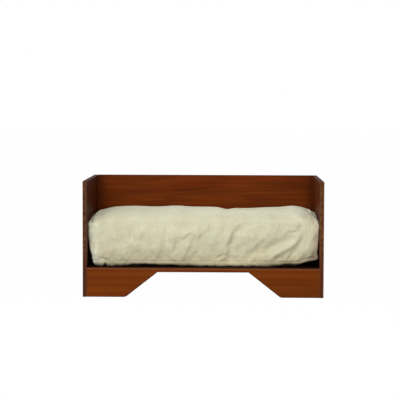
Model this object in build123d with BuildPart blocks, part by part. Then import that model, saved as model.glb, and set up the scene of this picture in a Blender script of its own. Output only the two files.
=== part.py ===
from build123d import *
import os
from math import cos, radians, sin

os.makedirs("parts", exist_ok=True)

# Dog sofa bed: a low wooden box seat, open at the front and the top, with a loose box cushion.
# The origin is on the floor under the middle of the frame. +X is to the right as seen from the
# front, +Y goes from the front to the back, and +Z is up. All lengths are in millimetres.

# Wooden frame
frame_width = 900.0
frame_depth = 500.0
frame_height = 434.0
board = 15.0
edge_round = 1.5
panel_corner_round = 3.0

# Front apron, and the cut-out that it shares with the back panel
apron_height = 112.0
apron_setback = 2.0
foot_length = 145.0
arch_run = 120.0
toe_round = 25.0
arch_corner_round = 6.0

# Deck that carries the cushion, and the cleats that carry the deck
deck_board = 15.0
deck_lip = 3.0
cleat_size = 20.0
cleat_reach = 50.0
cleat_screw_margin = 40.0
short_cleat_screw_margin = 30.0
side_cleat_screws = 4
short_cleat_screws = 2

# Glued dowels of the corner joints and the deck
dowel_radius = 3.0
dowel_length = 30.0
dowel_bite = 10.0
dowel_chamfer = 1.0
dowel_clearance = 0.05
dowel_end_room = 0.5
apron_dowel_margin = 28.0
apron_dowels = 2
back_dowel_margin = 40.0
back_dowels = 5
deck_dowel_margin = 20.0
deck_dowels = 5

# Countersunk wood screws
screw_head_radius = 4.0
screw_shank_radius = 2.0
screw_bite = 9.0
screw_tip_length = 4.0
screw_tip_radius = 0.4
screw_head_angle = 90.0
screw_clearance = 0.05
driver_slot_length = 4.4
driver_slot_width = 0.9
driver_slot_depth = 1.5

# Box cushion
cushion_side_gap = 2.0
cushion_rear_gap = 2.0
cushion_front_gap = 28.0
soft_gap = 0.3
bottom_roll = 23.0
boxing_height = 144.0
crown_height = 47.0
end_draw = 22.0
front_draw = 10.0
seam_draw = 4.0
end_swell = 20.0
front_swell = 8.0
bottom_roll_reach = 26.0
crown_end_run = 122.0
crown_side_run = 185.0
cushion_corner_round = 14.0
cover_thickness = 2.0
filling_gap = 0.3
crown_levels = 6
roll_levels = 4

# Zip in the rear boxing of the cover
zip_height = 62.0
zip_end_margin = 103.0
zip_seat_depth = 18.0
zip_seat_margin = 22.0
zip_seat_half_height = 18.0
tape_width = 12.5
tape_gap = 1.0
tape_thickness = 0.8
coil_width = 4.4
coil_thickness = 1.6
coil_round = 0.5
stop_length = 3.0
stop_height = 1.2
slider_length = 12.0
slider_width = 9.0
slider_plate = 1.2
slider_clearance = 0.15
slider_round = 1.0
bridge_length = 9.0
bridge_width = 2.2
bridge_height = 3.2
bridge_strip = 0.9
bridge_round = 0.7
pull_length = 25.0
pull_width = 7.0
pull_plate = 1.2
pull_bar_radius = 0.6
pull_eye_length = 6.0
pull_eye_width = 4.0
pull_round = 2.0
pull_bar_setback = 2.3
slider_end_room = 5.0

# Places worked out from the sizes
inner_half = frame_width / 2 - board
front_face = -frame_depth / 2
rear_face = frame_depth / 2
apron_front = front_face + apron_setback
apron_back = apron_front + board
back_front = rear_face - board
deck_top = apron_height - deck_lip
deck_bottom = deck_top - deck_board
arch_toe = inner_half - foot_length
arch_top = arch_toe - arch_run
cleat_bottom = deck_bottom - cleat_size
cleat_middle = deck_bottom - cleat_size / 2
short_cleat_length = foot_length + cleat_reach - cleat_size
screw_length = cleat_size + screw_bite
sides = ((-1, "left"), (1, "right"))


def spread(start, end, count):
    """Evenly spread places from start to end, both included."""
    step = (end - start) / (count - 1)
    return [start + step * number for number in range(count)]


def between(places):
    """The middle of each gap between neighbouring places."""
    return [(first + second) / 2 for first, second in zip(places, places[1:])]


# Dowel, along Z, with its joint face at zero: the short end bites into the board's face
with BuildPart() as dowel:
    with BuildSketch(Plane.XY.offset(-dowel_bite)):
        Circle(dowel_radius)
    extrude(amount=dowel_length)
    chamfer(dowel.edges().filter_by(GeomType.CIRCLE), dowel_chamfer)

# Wood screw, with the head's flat face at zero and the shank pointing down
head_depth = screw_head_radius - screw_shank_radius
with BuildPart() as screw:
    with BuildSketch(Plane.XZ):
        with BuildLine():
            Polyline(
                (0, 0),
                (screw_head_radius, 0),
                (screw_shank_radius, -head_depth),
                (screw_shank_radius, screw_tip_length - screw_length),
                (screw_tip_radius, -screw_length),
                (0, -screw_length),
                close=True,
            )
        make_face()
    revolve(axis=Axis.Z)
    with BuildSketch(Plane.XY):
        Rectangle(driver_slot_length, driver_slot_width)
        Rectangle(driver_slot_width, driver_slot_length)
    extrude(amount=-driver_slot_depth, mode=Mode.SUBTRACT)

# Joint planes of the dowels, each facing the piece that takes the long end
apron_dowel_planes = {
    side: [
        Plane(origin=(side * inner_half, apron_back - board / 2, height), z_dir=(-side, 0, 0))
        for height in spread(apron_dowel_margin, apron_height - apron_dowel_margin, apron_dowels)
    ]
    for side, _ in sides
}
back_dowel_planes = {
    side: [
        Plane(origin=(side * inner_half, back_front + board / 2, height), z_dir=(-side, 0, 0))
        for height in spread(back_dowel_margin, frame_height - back_dowel_margin, back_dowels)
    ]
    for side, _ in sides
}
deck_dowel_places = spread(-arch_top + deck_dowel_margin, arch_top - deck_dowel_margin, deck_dowels)
deck_middle = deck_top - deck_board / 2
front_deck_planes = [
    Plane(origin=(place, apron_back, deck_middle), z_dir=(0, 1, 0)) for place in deck_dowel_places
]
rear_deck_planes = [
    Plane(origin=(place, back_front, deck_middle), z_dir=(0, -1, 0)) for place in deck_dowel_places
]

# Screw planes, each on the cleat's face that the head sinks into, facing out of the wood
side_screw_places = spread(
    apron_back + cleat_screw_margin, back_front - cleat_screw_margin, side_cleat_screws
)
short_start = inner_half - cleat_size
short_screw_places = spread(
    short_start - short_cleat_length + short_cleat_screw_margin,
    short_start - short_cleat_screw_margin,
    short_cleat_screws,
)
side_screw_planes = {
    side: [
        Plane(origin=(side * short_start, place, cleat_middle), z_dir=(-side, 0, 0))
        for place in side_screw_places
    ]
    for side, _ in sides
}
front_screw_planes = {
    side: [
        Plane(origin=(side * place, apron_back + cleat_size, cleat_middle), z_dir=(0, 1, 0))
        for place in short_screw_places
    ]
    for side, _ in sides
}
rear_screw_planes = {
    side: [
        Plane(origin=(side * place, back_front - cleat_size, cleat_middle), z_dir=(0, -1, 0))
        for place in short_screw_places
    ]
    for side, _ in sides
}


def upward(places):
    """Screw planes on the underside of the cleats at these places, driven up into the deck."""
    return [Plane(origin=(x, y, cleat_bottom), z_dir=(0, 0, -1)) for x, y in places]


side_deck_planes = {
    side: upward(
        [(side * (inner_half - cleat_size / 2), place) for place in between(side_screw_places)]
    )
    for side, _ in sides
}
front_deck_screw_planes = {
    side: upward(
        [(side * place, apron_back + cleat_size / 2) for place in between(short_screw_places)]
    )
    for side, _ in sides
}
rear_deck_screw_planes = {
    side: upward(
        [(side * place, back_front - cleat_size / 2) for place in between(short_screw_places)]
    )
    for side, _ in sides
}
deck_screw_planes = [
    plane
    for side, _ in sides
    for planes in (side_deck_planes, front_deck_screw_planes, rear_deck_screw_planes)
    for plane in planes[side]
]
dowel_hole = dowel_radius + dowel_clearance
bite_hole_depth = dowel_bite + dowel_end_room
long_hole_depth = dowel_length - dowel_bite + dowel_end_room
screw_hole = screw_shank_radius + screw_clearance
screw_head_hole = screw_head_radius + screw_clearance
screw_hole_depth = screw_length + screw_clearance

# Side panels, standing on the floor
for side, side_name in sides:
    with BuildPart() as side_panel:
        with BuildSketch(Plane.YZ.offset(side * inner_half)) as outline:
            with Locations((0, frame_height / 2)):
                Rectangle(frame_depth, frame_height)
            fillet(outline.vertices().group_by(Axis.Y)[-1], panel_corner_round)
        extrude(amount=side * board)
        top_and_upright = side_panel.edges().filter_by(
            lambda edge: abs(edge.tangent_at(0).X) < 0.5 and edge.center().Z > board
        )
        fillet(top_and_upright, edge_round)
        with Locations(*apron_dowel_planes[side], *back_dowel_planes[side]):
            Hole(dowel_hole, bite_hole_depth)
        with Locations(*side_screw_planes[side]):
            Hole(screw_hole, screw_hole_depth)
    side_panel.part.label = f"{side_name}_side_panel"
    export_step(side_panel.part, f"parts/{side_name}_side_panel.step")


def footed_outline(plane, height):
    """Outline of a board between the sides: two feet, and a trapezoid cut-out up to the deck."""
    with BuildSketch(plane) as outline:
        with BuildLine():
            Polyline(
                (-inner_half, 0),
                (-arch_toe, 0),
                (-arch_top, deck_bottom),
                (arch_top, deck_bottom),
                (arch_toe, 0),
                (inner_half, 0),
                (inner_half, height),
                (-inner_half, height),
                close=True,
            )
        make_face()
        inner_corners = outline.vertices().filter_by(lambda corner: abs(corner.X) < inner_half - board)
        fillet(inner_corners.group_by(Axis.Y)[0], toe_round)
        fillet(inner_corners.group_by(Axis.Y)[-1], arch_corner_round)
    return outline.sketch


def eased_edges(faces):
    """Edges around these faces that stay open, away from the joints with the side panels."""
    return [
        edge for face in faces for edge in face.edges() if abs(edge.center().X) < inner_half - edge_round
    ]


# Front apron, a little behind the side panels' front edges
with BuildPart() as front_apron:
    apron_outline = footed_outline(
        Plane(origin=(0, apron_front, 0), x_dir=(1, 0, 0), z_dir=(0, -1, 0)), apron_height
    )
    extrude(apron_outline, amount=-board)
    fillet(eased_edges(front_apron.faces().filter_by(Axis.Y).sort_by(Axis.Y)), edge_round)
    with Locations(*apron_dowel_planes[-1], *apron_dowel_planes[1]):
        Hole(dowel_hole, long_hole_depth)
    with Locations(*front_deck_planes):
        Hole(dowel_hole, bite_hole_depth)
    with Locations(*front_screw_planes[-1], *front_screw_planes[1]):
        Hole(screw_hole, screw_hole_depth)
front_apron.part.label = "front_apron"
export_step(front_apron.part, "parts/front_apron.step")

# Back panel, flush with the side panels' rear and top edges
with BuildPart() as back_panel:
    back_outline = footed_outline(
        Plane(origin=(0, back_front, 0), x_dir=(1, 0, 0), z_dir=(0, -1, 0)), frame_height
    )
    extrude(back_outline, amount=-board)
    fillet(eased_edges(back_panel.faces().filter_by(Axis.Y).sort_by(Axis.Y)), edge_round)
    with Locations(*back_dowel_planes[-1], *back_dowel_planes[1]):
        Hole(dowel_hole, long_hole_depth)
    with Locations(*rear_deck_planes):
        Hole(dowel_hole, bite_hole_depth)
    with Locations(*rear_screw_planes[-1], *rear_screw_planes[1]):
        Hole(screw_hole, screw_hole_depth)
back_panel.part.label = "back_panel"
export_step(back_panel.part, "parts/back_panel.step")

# Deck panel, between the apron and the back panel
with BuildPart() as deck_panel:
    with BuildSketch(Plane.XY.offset(deck_bottom)):
        with Locations((0, (apron_back + back_front) / 2)):
            Rectangle(2 * inner_half, back_front - apron_back)
    extrude(amount=deck_board)
    with Locations(*front_deck_planes, *rear_deck_planes):
        Hole(dowel_hole, long_hole_depth)
    with Locations(*deck_screw_planes):
        Hole(screw_hole, screw_hole_depth)
deck_panel.part.label = "deck_panel"
export_step(deck_panel.part, "parts/deck_panel.step")

# Long cleats under the deck, along the side panels
for side, side_name in sides:
    with BuildPart() as side_cleat:
        with BuildSketch(Plane.XY.offset(cleat_bottom)):
            with Locations((side * (inner_half - cleat_size / 2), (apron_back + back_front) / 2)):
                Rectangle(cleat_size, back_front - apron_back)
        extrude(amount=cleat_size)
        with Locations(*side_screw_planes[side], *side_deck_planes[side]):
            CounterSinkHole(
                screw_hole, screw_head_hole, screw_hole_depth, counter_sink_angle=screw_head_angle
            )
    side_cleat.part.label = f"{side_name}_deck_cleat"
    export_step(side_cleat.part, f"parts/{side_name}_deck_cleat.step")

# Short cleats behind the feet, from the long cleats towards the cut-out
short_rows = (
    ("front", apron_back + cleat_size / 2, front_screw_planes, front_deck_screw_planes),
    ("rear", back_front - cleat_size / 2, rear_screw_planes, rear_deck_screw_planes),
)
for row_name, row_middle, level_planes, upright_planes in short_rows:
    for side, side_name in sides:
        with BuildPart() as short_cleat:
            with BuildSketch(Plane.XY.offset(cleat_bottom)):
                with Locations((side * (short_start - short_cleat_length / 2), row_middle)):
                    Rectangle(short_cleat_length, cleat_size)
            extrude(amount=cleat_size)
            with Locations(*level_planes[side], *upright_planes[side]):
                CounterSinkHole(
                    screw_hole, screw_head_hole, screw_hole_depth, counter_sink_angle=screw_head_angle
                )
        short_cleat.part.label = f"{row_name}_{side_name}_cleat"
        export_step(short_cleat.part, f"parts/{row_name}_{side_name}_cleat.step")

# Dowels and screws, one group for each joint or row
fastener_groups = (
    ("left_apron_dowels", dowel, apron_dowel_planes[-1]),
    ("right_apron_dowels", dowel, apron_dowel_planes[1]),
    ("left_back_dowels", dowel, back_dowel_planes[-1]),
    ("right_back_dowels", dowel, back_dowel_planes[1]),
    ("front_deck_dowels", dowel, front_deck_planes),
    ("rear_deck_dowels", dowel, rear_deck_planes),
    ("left_cleat_screws", screw, side_screw_planes[-1]),
    ("right_cleat_screws", screw, side_screw_planes[1]),
    ("front_cleat_screws", screw, front_screw_planes[-1] + front_screw_planes[1]),
    ("rear_cleat_screws", screw, rear_screw_planes[-1] + rear_screw_planes[1]),
    ("deck_screws", screw, deck_screw_planes),
)
for group_name, fastener, planes in fastener_groups:
    with BuildPart() as group:
        with Locations(*planes):
            add(fastener.part)
    group.part.label = group_name
    export_step(group.part, f"parts/{group_name}.step")

# Box cushion: its place, its levels and its swelling sides
cushion_half_length = inner_half - cushion_side_gap
cushion_front = apron_back + cushion_front_gap
cushion_rear = back_front - cushion_rear_gap
cushion_half_depth = (cushion_rear - cushion_front) / 2
cushion_middle = (cushion_rear + cushion_front) / 2
cushion_base = deck_top + soft_gap
bottom_seam = cushion_base + bottom_roll
top_seam = bottom_seam + boxing_height
widest_share = 0.72
half_drawn_share = 0.3
zip_half_length = cushion_half_length - zip_end_margin
zip_seat_plane = cushion_rear - zip_seat_depth
zip_middle = cushion_base + zip_height


def seat_plane(level):
    """Plane over the zip's seat at this level, with X along the zip and its normal facing the back."""
    return Plane(origin=(0, level, zip_middle), x_dir=(-1, 0, 0), z_dir=(0, 1, 0))


def level_outline(height, end_inset, front_inset, inset):
    """One level outline of the cushion: four sides that swell out between rounded corners."""
    half_length = cushion_half_length - end_inset - inset
    half_depth = cushion_half_depth - front_inset - inset
    corner_x = half_length - end_swell
    corner_y = half_depth - front_swell
    with BuildSketch(Plane(origin=(0, cushion_middle, height))) as outline:
        with BuildLine():
            ThreePointArc((-corner_x, -corner_y), (0, -half_depth), (corner_x, -corner_y))
            ThreePointArc((corner_x, -corner_y), (half_length, 0), (corner_x, corner_y))
            ThreePointArc((corner_x, corner_y), (0, half_depth), (-corner_x, corner_y))
            ThreePointArc((-corner_x, corner_y), (-half_length, 0), (-corner_x, -corner_y))
        make_face()
        fillet(outline.vertices(), cushion_corner_round)
    return outline.sketch


def cushion_form(inset):
    """The plump cushion, drawn in at its bottom seam and crowned on top, smaller by the inset."""
    roll_turns = [radians(turn) for turn in spread(0, 90, roll_levels)]
    crown_turns = [radians(turn) for turn in spread(0, 90, crown_levels)]
    floor = cushion_base + inset
    roll = bottom_seam - floor
    crown = crown_height - inset
    roll_outlines = [
        level_outline(
            floor + roll * (1 - cos(turn)),
            end_draw + bottom_roll_reach * (1 - sin(turn)),
            front_draw + bottom_roll_reach * (1 - sin(turn)),
            inset,
        )
        for turn in roll_turns
    ]
    boxing_outlines = [
        level_outline(bottom_seam, end_draw, front_draw, inset),
        level_outline(
            bottom_seam + boxing_height * widest_share / 2,
            end_draw * half_drawn_share,
            front_draw * half_drawn_share,
            inset,
        ),
        level_outline(bottom_seam + boxing_height * widest_share, 0, 0, inset),
        level_outline(top_seam, seam_draw, seam_draw, inset),
    ]
    crown_outlines = [
        level_outline(
            top_seam + crown * sin(turn),
            seam_draw + crown_end_run * (1 - cos(turn)),
            seam_draw + crown_side_run * (1 - cos(turn)),
            inset,
        )
        for turn in crown_turns
    ]
    with BuildPart() as form:
        loft(roll_outlines)
        loft(boxing_outlines)
        loft(crown_outlines)
        with BuildSketch(seat_plane(zip_seat_plane - inset)):
            Rectangle(
                2 * (zip_half_length + zip_seat_margin + inset),
                2 * (zip_seat_half_height + inset),
            )
        extrude(amount=zip_seat_depth + inset, mode=Mode.SUBTRACT)
    return form.part


cushion_outside = cushion_form(0)
cushion_inside = cushion_form(cover_thickness)
cushion_filling_form = cushion_form(cover_thickness + filling_gap)

with BuildPart() as cushion_cover:
    add(cushion_outside)
    add(cushion_inside, mode=Mode.SUBTRACT)
cushion_cover.part.label = "cushion_cover"
export_step(cushion_cover.part, "parts/cushion_cover.step")

with BuildPart() as cushion_filling:
    add(cushion_filling_form)
cushion_filling.part.label = "cushion_filling"
export_step(cushion_filling.part, "parts/cushion_filling.step")

# Zip: every layer is measured outwards from the flat seat in the rear boxing
tape_top = zip_seat_plane + tape_thickness
coil_top = tape_top + coil_thickness
plate_bottom = coil_top + slider_clearance
plate_top = plate_bottom + slider_plate
slider_rest = zip_half_length - stop_length - slider_length / 2 - slider_end_room
pull_pivot_x = slider_rest - pull_bar_setback
pull_pivot_y = plate_top + (bridge_height - bridge_strip) / 2


with BuildPart() as zipper_tape:
    with BuildSketch(seat_plane(zip_seat_plane)):
        with Locations((0, (tape_width + tape_gap) / 2), (0, -(tape_width + tape_gap) / 2)):
            Rectangle(2 * zip_half_length, tape_width)
    extrude(amount=tape_thickness)
zipper_tape.part.label = "zipper_tape"
export_step(zipper_tape.part, "parts/zipper_tape.step")

with BuildPart() as zipper_coil:
    with BuildSketch(seat_plane(tape_top)):
        Rectangle(2 * (zip_half_length - stop_length), coil_width)
    extrude(amount=coil_thickness)
    coil_edges = zipper_coil.faces().sort_by(Axis.Y)[-1].edges().filter_by(Axis.X)
    fillet(coil_edges, coil_round)
zipper_coil.part.label = "zipper_coil"
export_step(zipper_coil.part, "parts/zipper_coil.step")

with BuildPart() as zipper_stops:
    with BuildSketch(seat_plane(tape_top)):
        stop_x = zip_half_length - stop_length / 2
        with Locations((-stop_x, 0), (stop_x, 0)):
            Rectangle(stop_length, coil_width)
    extrude(amount=stop_height)
zipper_stops.part.label = "zipper_stops"
export_step(zipper_stops.part, "parts/zipper_stops.step")

with BuildPart() as zipper_slider:
    with BuildSketch(seat_plane(tape_top + slider_clearance)) as slider_outline:
        with Locations((-slider_rest, 0)):
            Rectangle(slider_length, slider_width)
        fillet(slider_outline.vertices(), slider_round)
    extrude(amount=plate_top - tape_top - slider_clearance)
    with BuildSketch(seat_plane(tape_top)):
        with Locations((-slider_rest, 0)):
            Rectangle(slider_length, slider_width - 2 * slider_plate)
    extrude(amount=plate_bottom - tape_top, mode=Mode.SUBTRACT)
    with BuildSketch(Plane.XY.offset(zip_middle)) as bridge_side:
        with Locations((slider_rest, plate_top + bridge_height / 2)):
            Rectangle(bridge_length, bridge_height)
        fillet(bridge_side.vertices().group_by(Axis.Y)[-1], bridge_round)
        with Locations((slider_rest, pull_pivot_y)):
            Rectangle(bridge_length - 2 * bridge_strip, bridge_height - bridge_strip, mode=Mode.SUBTRACT)
    extrude(amount=bridge_width / 2, both=True)
zipper_slider.part.label = "zipper_slider"
export_step(zipper_slider.part, "parts/zipper_slider.step")

with BuildPart() as zipper_pull:
    with BuildSketch(seat_plane(pull_pivot_y - pull_plate / 2)) as pull_outline:
        with Locations((-pull_pivot_x + pull_length / 2, 0)):
            Rectangle(pull_length, pull_width)
        fillet(pull_outline.vertices().group_by(Axis.X)[-1], pull_round)
        with Locations((-pull_pivot_x + pull_eye_length / 2, 0)):
            Rectangle(pull_eye_length, pull_eye_width, mode=Mode.SUBTRACT)
    extrude(amount=pull_plate)
    with BuildSketch(Plane.XY.offset(zip_middle)):
        with Locations((pull_pivot_x, pull_pivot_y)):
            Circle(pull_bar_radius)
    extrude(amount=pull_width / 2, both=True)
zipper_pull.part.label = "zipper_pull"
export_step(zipper_pull.part, "parts/zipper_pull.step")
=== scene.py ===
from math import cos, hypot, pi, prod, radians, sin

import bpy
import numpy as np
from mathutils import Matrix, Vector


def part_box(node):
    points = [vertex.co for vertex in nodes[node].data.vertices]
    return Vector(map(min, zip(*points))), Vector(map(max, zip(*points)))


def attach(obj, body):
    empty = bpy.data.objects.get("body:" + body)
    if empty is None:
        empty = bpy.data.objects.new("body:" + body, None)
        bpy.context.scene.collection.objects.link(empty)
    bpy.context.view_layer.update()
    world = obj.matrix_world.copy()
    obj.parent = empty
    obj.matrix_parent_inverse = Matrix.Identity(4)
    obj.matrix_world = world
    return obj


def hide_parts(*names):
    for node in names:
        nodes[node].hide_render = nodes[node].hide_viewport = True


# Dog sofa bed: a stained wooden box seat with a plump canvas cushion. All lengths are in metres.
# +X is to the right as seen from the front, +Y goes to the back, +Z is up.

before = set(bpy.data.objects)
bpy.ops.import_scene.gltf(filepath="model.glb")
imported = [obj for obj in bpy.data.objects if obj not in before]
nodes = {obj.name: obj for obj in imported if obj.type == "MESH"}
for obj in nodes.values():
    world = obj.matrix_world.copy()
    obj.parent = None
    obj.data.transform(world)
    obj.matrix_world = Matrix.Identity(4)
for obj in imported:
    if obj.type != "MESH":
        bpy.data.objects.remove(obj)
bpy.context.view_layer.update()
scene = bpy.context.scene
X, Y, Z = 0, 1, 2


# Sizes of the frame

frame_top = 0.434
inner_x = 0.435
inner_y = 0.235
stave_width = 0.065
apron_top = 0.112
arch_toe = 0.290
arch_run = 0.120
arch_height = 0.094
arch_slope = hypot(arch_run, arch_height)


# Sizes of the cushion

side_wall_x = 0.4346
back_wall_y = 0.2346
half_length = side_wall_x
half_depth = 0.219
middle_y = 0.014
base_z = 0.1093
bottom_seam_z = 0.1320
top_seam_z = 0.2763
boxing_height = top_seam_z - bottom_seam_z
crest_z = 0.3170
mid_z = 0.2
rear_y = 0.19

# Places of the boxing and of the bottom on the flat pattern, beyond the top
flat_boxing = 0.8
flat_bottom = 1.2


# Camera

camera_place = Vector((0.097, -5.772, 0.731))
camera_lens = 133.9
camera_sensor = 36
camera_reach = 60
camera_turn = radians(1.13)
camera_tilt = radians(3.79)
camera_roll = radians(0.165)


def make_camera():
    """The camera at the photograph's viewing angle."""
    ahead = Vector((-sin(camera_turn), cos(camera_turn), 0))
    aside = Vector((cos(camera_turn), sin(camera_turn), 0))
    upright = Vector((0, 0, 1))
    sight = ahead * cos(camera_tilt) - upright * sin(camera_tilt)
    top = ahead * sin(camera_tilt) + upright * cos(camera_tilt)
    right = aside * cos(camera_roll) + top * sin(camera_roll)
    up = top * cos(camera_roll) - aside * sin(camera_roll)
    data = bpy.data.cameras.new("camera")
    data.lens = camera_lens
    data.sensor_width = camera_sensor
    data.clip_end = camera_reach
    camera = bpy.data.objects.new("camera", data)
    turned = Matrix((right, up, -sight)).transposed().to_4x4()
    camera.matrix_world = Matrix.Translation(camera_place) @ turned
    scene.collection.objects.link(camera)
    scene.camera = camera


make_camera()


# Node trees: sums on sockets, and one method that adds any other node


def paint(red, green, blue):
    """A colour written in 0 to 255, as the nodes need it."""
    shares = [part / 255 for part in (red, green, blue)]
    return tuple(s / 12.92 if s <= 0.04045 else ((s + 0.055) / 1.055) ** 2.4 for s in shares) + (1,)


def tinted(colour, red, green, blue):
    return [colour[0] * red, colour[1] * green, colour[2] * blue, 1]


class Value:
    """A socket whose sums add the Math nodes that they need."""

    def __init__(self, tree, socket):
        self.tree = tree
        self.socket = socket

    def math(self, operation, *terms, clamped=False):
        settings = {"operation": operation, "use_clamp": clamped}
        return self.tree.node("ShaderNodeMath", settings, dict(enumerate(terms)))

    def __add__(self, other):
        return self.math("ADD", self, other)

    def __sub__(self, other):
        return self.math("SUBTRACT", self, other)

    def __rsub__(self, other):
        return self.math("SUBTRACT", other, self)

    def __mul__(self, other):
        return self.math("MULTIPLY", self, other)

    def __truediv__(self, other):
        return self.math("DIVIDE", self, other)

    __radd__ = __add__
    __rmul__ = __mul__

    def clamped(self):
        return self.math("ADD", self, 0, clamped=True)

    def size(self):
        return self.math("ABSOLUTE", self)

    def root(self):
        return self.math("SQRT", self)

    def wave(self):
        return self.math("SINE", self)

    def whole(self):
        return self.math("FLOOR", self)

    def part(self):
        return self.math("FRACT", self)

    def least(self, other):
        return self.math("MINIMUM", self, other)

    def most(self, other):
        return self.math("MAXIMUM", self, other)


class Tree:
    """Adds nodes to a shader or geometry tree."""

    def __init__(self, tree):
        self.tree = tree

    def node(self, kind, settings=None, inputs=None, outputs=(0,)):
        """Adds a node, sets its settings first and its sockets after, and gives its outputs."""
        added = self.tree.nodes.new(kind)
        for name, setting in (settings or {}).items():
            if name == "stops":
                stops = added.color_ramp.elements
                while len(stops) < len(setting):
                    stops.new(1)
                for stop, (place, colour) in zip(stops, setting):
                    stop.position = place
                    stop.color = colour
            elif name == "easing":
                added.color_ramp.interpolation = setting
            else:
                setattr(added, name, setting)
        for key, value in (inputs or {}).items():
            socket = self.find(added.inputs, key)
            if isinstance(value, Value):
                self.tree.links.new(value.socket, socket)
            else:
                socket.default_value = value
        found = tuple(Value(self, self.find(added.outputs, key)) for key in outputs)
        return found[0] if len(found) == 1 else found

    def find(self, sockets, key):
        """A socket by its number, its identifier or its name."""
        if isinstance(key, int):
            return sockets[key]
        for socket in sockets:
            if socket.identifier == key:
                return socket
        return sockets[key]


class Finish(Tree):
    """A procedural material and the steps that its patterns share."""

    def __init__(self, name):
        self.material = bpy.data.materials.new(name)
        self.material.use_nodes = True
        super().__init__(self.material.node_tree)
        self.tree.nodes.clear()

    def places(self, output="Object"):
        """The three coordinates of a point of the piece, in metres."""
        place = self.node("ShaderNodeTexCoord", outputs=(output,))
        return self.node("ShaderNodeSeparateXYZ", {}, {0: place}, ("X", "Y", "Z"))

    def vector(self, x, y, z):
        return self.node("ShaderNodeCombineXYZ", {}, {0: x, 1: y, 2: z})

    def noise(self, place, scale=1.0, detail=2.0, roughness=0.5, distortion=0.0):
        inputs = {"Vector": place, "Scale": scale, "Detail": detail}
        inputs.update({"Roughness": roughness, "Distortion": distortion})
        return self.node("ShaderNodeTexNoise", {}, inputs)

    def speckle(self, rate, detail=2, roughness=0.5, distortion=0.0, shift=(0, 0, 0)):
        """Noise with as many cells to a metre as rate says, for all axes or for each."""
        rates = rate if isinstance(rate, tuple) else (rate,) * 3
        place = [p * each + start for p, each, start in zip(self.places(), rates, shift)]
        return self.noise(self.vector(*place), 1, detail, roughness, distortion)

    def chance(self, number):
        """Three random values for a number."""
        settings = {"noise_dimensions": "1D"}
        colour = self.node("ShaderNodeTexWhiteNoise", settings, {"W": number}, ("Color",))
        return self.node("ShaderNodeSeparateXYZ", {}, {0: colour}, ("X", "Y", "Z"))

    def between(self, value, out, full):
        """A smooth step from 0 at out to 1 at full, whichever of the two is larger."""
        inputs = {"Value": value, "From Min": out, "From Max": full}
        return self.node("ShaderNodeMapRange", {"interpolation_type": "SMOOTHSTEP"}, inputs)

    def patch(self, *steps):
        """1 inside all the steps, each a value and the two ends that between takes."""
        return prod(self.between(*step) for step in steps)

    def mix(self, factor, first, second, blend="MIX"):
        settings = {"data_type": "RGBA", "blend_type": blend}
        inputs = {"Factor_Float": factor, "A_Color": first, "B_Color": second}
        return self.node("ShaderNodeMix", settings, inputs, ("Result_Color",))

    def dyed(self, colour, share, tint):
        """The colour multiplied by a tint, by the share given."""
        full = tint if isinstance(tint, Value) else (*tint, 1)
        return self.mix(share, colour, self.mix(1.0, colour, full, "MULTIPLY"))

    def ramp(self, value, stops, easing="LINEAR"):
        return self.node("ShaderNodeValToRGB", {"stops": stops, "easing": easing}, {0: value})

    def shades(self, value, *stops):
        """A ramp through colours, each a place and its red, green and blue in 0 to 255."""
        return self.ramp(value, [(place, paint(*colour)) for place, *colour in stops])

    def bump(self, height, strength, distance, normal=None):
        inputs = {"Strength": strength, "Distance": distance, "Height": height}
        if normal:
            inputs["Normal"] = normal
        return self.node("ShaderNodeBump", {}, inputs)

    def finish(self, **sockets):
        """Ends the material in a Principled shader, and gives the material."""
        inputs = {name.replace("_", " "): value for name, value in sockets.items()}
        shader = self.node("ShaderNodeBsdfPrincipled", {}, inputs)
        self.node("ShaderNodeOutputMaterial", {}, {"Surface": shader}, ())
        return self.material


# Stained wood, with its grain in millimetres

per_metre = 1000
ring_gap = 5.5
pith_below = 32
pith_behind = 46
pith_spread = 60
# How long, wide and thick the cells of each pattern are
wood_cells = {
    "ripple": (700, 20, 20),
    "streak": (620, 3.4, 4),
    "band": (1000, 13, 16),
    "hue": (500, 12, 12),
    "pores": (12, 0.5, 0.5),
    "cloud": (110, 50, 50),
    "speck": (3, 2.2, 2.2),
}


def edge_nearness(places, node):
    """How far a point of a board is from the nearest edge of its outer box, in metres."""
    low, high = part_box(node)
    gaps = []
    for place, least, most in zip(places, low, high):
        gaps.append((place - float(least)).size().least((place - float(most)).size()))
    first, second, third = gaps
    widest = first.most(second).most(third)
    closest = first.least(second).least(third)
    return first + second + third - widest - closest


def end_grain(finish, speck, width, thick, height, edge):
    """The colour of an end of the board, speckled, and redder near the floor."""
    patch = finish.noise(finish.vector(0.0, width / 16, thick / 10), 1, 2, 0.5)
    value = 0.5 + (speck - 0.5) * 1.3 + (patch - 0.5) * 1.2
    middle = paint(*edge)
    dark, light = tinted(middle, 0.4, 0.32, 0.4), tinted(middle, 1.8, 2.2, 2.2)
    colour = finish.ramp(value, [(0.2, dark), (0.5, middle), (0.85, light)], "EASE")
    foot = finish.between(height, 0.19, 0.11)
    return finish.mix(foot * 0.8, colour, tinted(middle, 0.84, 0.52, 0.54))


def apron_shade_and_stain(finish, colour, places, lip):
    """Painted shade along the top edge of the apron, where the gap behind it is in shadow, and the stain
    along its cut-out and under its feet.
    """
    x, _, z = places
    # Painted shade: the top few millimetres of the apron's front are darkened
    colour = finish.mix(finish.between(lip - z, 0.0040, 0.0018), colour, paint(44, 17, 5))
    beside_cut = ((x.size() - arch_toe) * arch_height + z * arch_run) / arch_slope
    cut = finish.patch((beside_cut, 0.0042, 0.0012), (z - arch_height, 0.0026, 0.0006))
    under = finish.between(z, 0.0034, 0.0010)
    return finish.mix((cut + under).clamped() * 0.75, colour, paint(58, 25, 8))


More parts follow.
